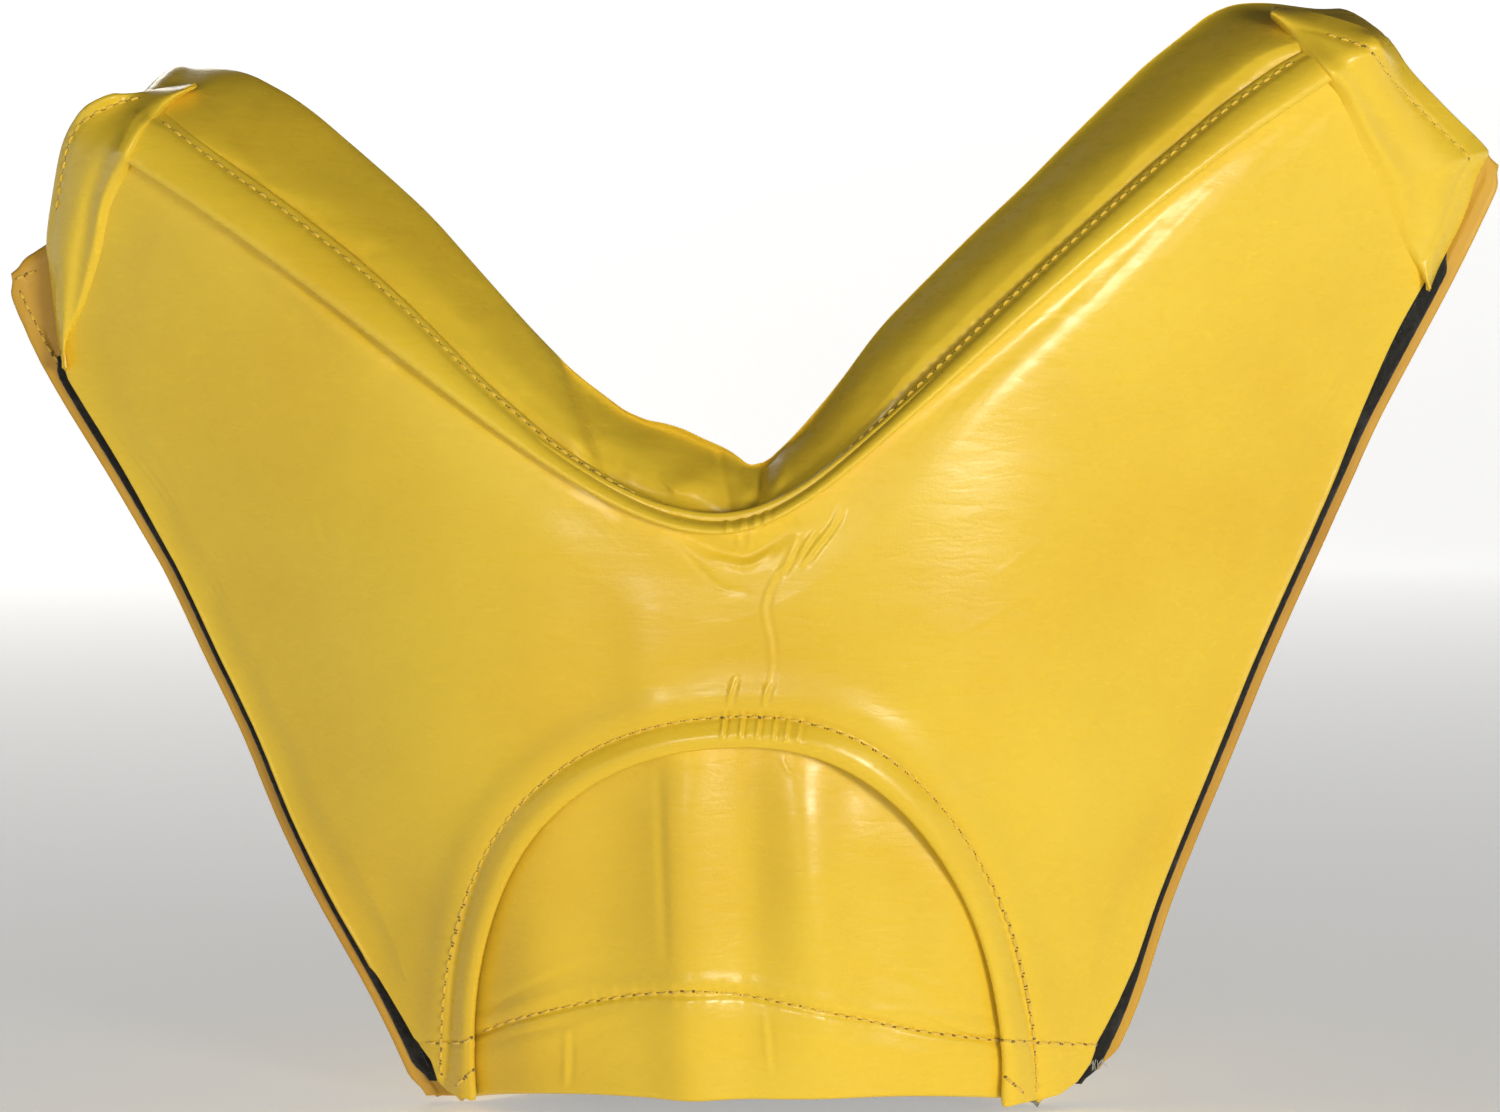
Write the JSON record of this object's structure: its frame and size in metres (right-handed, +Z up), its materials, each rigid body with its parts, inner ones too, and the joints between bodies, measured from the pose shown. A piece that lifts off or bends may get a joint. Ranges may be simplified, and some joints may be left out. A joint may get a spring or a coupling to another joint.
{
  "type": "boxing headgear",
  "caption": "Padded chin, jaw and ear guard with an open crown: V-fronted glossy yellow panel, arched chin panel, rim roll, end tabs and hook-and-loop side borders.",
  "frame": {"origin": "on the hem plane, under the middle of the guard", "axes": "+Z up from the hem to the ends of the rim roll, the front faces -Y, +X to the right of someone looking at the front"},
  "size_m": [0.3666, 0.12, 0.2736],
  "materials": {
    "cover_leather": "gloss",
    "lining_fabric": "matte",
    "facing_leather": "satin",
    "foam": "matte",
    "hook_tape": "matte",
    "loop_tape": "matte"
  },
  "bodies": {
    "front": {"front_cover": "cover_leather", "chin_welt": "cover_leather", "chin_panel": "cover_leather", "rim_band": "cover_leather", "rim_roll_cover": "cover_leather", "front_lining": "lining_fabric", "front_hem_facing": "facing_leather", "chin_pad": "foam", "left_cheek_pad": "foam", "right_cheek_pad": "foam", "left_roll_core": "foam", "right_roll_core": "foam", "left_front_border": "facing_leather", "right_front_border": "facing_leather", "left_hook_tape": "hook_tape", "right_hook_tape": "hook_tape", "left_loop_tape": "loop_tape", "left_rear_flap": "facing_leather"},
    "rear": {"rear_cover": "cover_leather", "rear_lining": "lining_fabric", "rear_pad": "foam", "rear_rim_band": "cover_leather", "rear_hem_band": "cover_leather", "right_loop_tape": "loop_tape", "right_rear_flap": "facing_leather"},
    "left_tab": {"left_end_tab": "cover_leather"},
    "right_tab": {"right_end_tab": "cover_leather"}
  },
  "joints": [
    {"name": "rear_swing", "type": "hinge", "parent": "front", "child": "rear", "pos_m": [-0.069, 0.0042, 0], "axis": [-0.4066, 0, 0.9136], "range_deg": [0, 80]},
    {"name": "left_tab_peel", "type": "hinge", "parent": "front", "child": "left_tab", "pos_m": [-0.1743, -0.005, 0.2047], "axis": [0.4823, -0.0908, 0.8713], "range_deg": [0, 75]},
    {"name": "right_tab_peel", "type": "hinge", "parent": "front", "child": "right_tab", "pos_m": [0.1743, -0.005, 0.2047], "axis": [0.4823, 0.0908, -0.8713], "range_deg": [0, 75]}
  ]
}
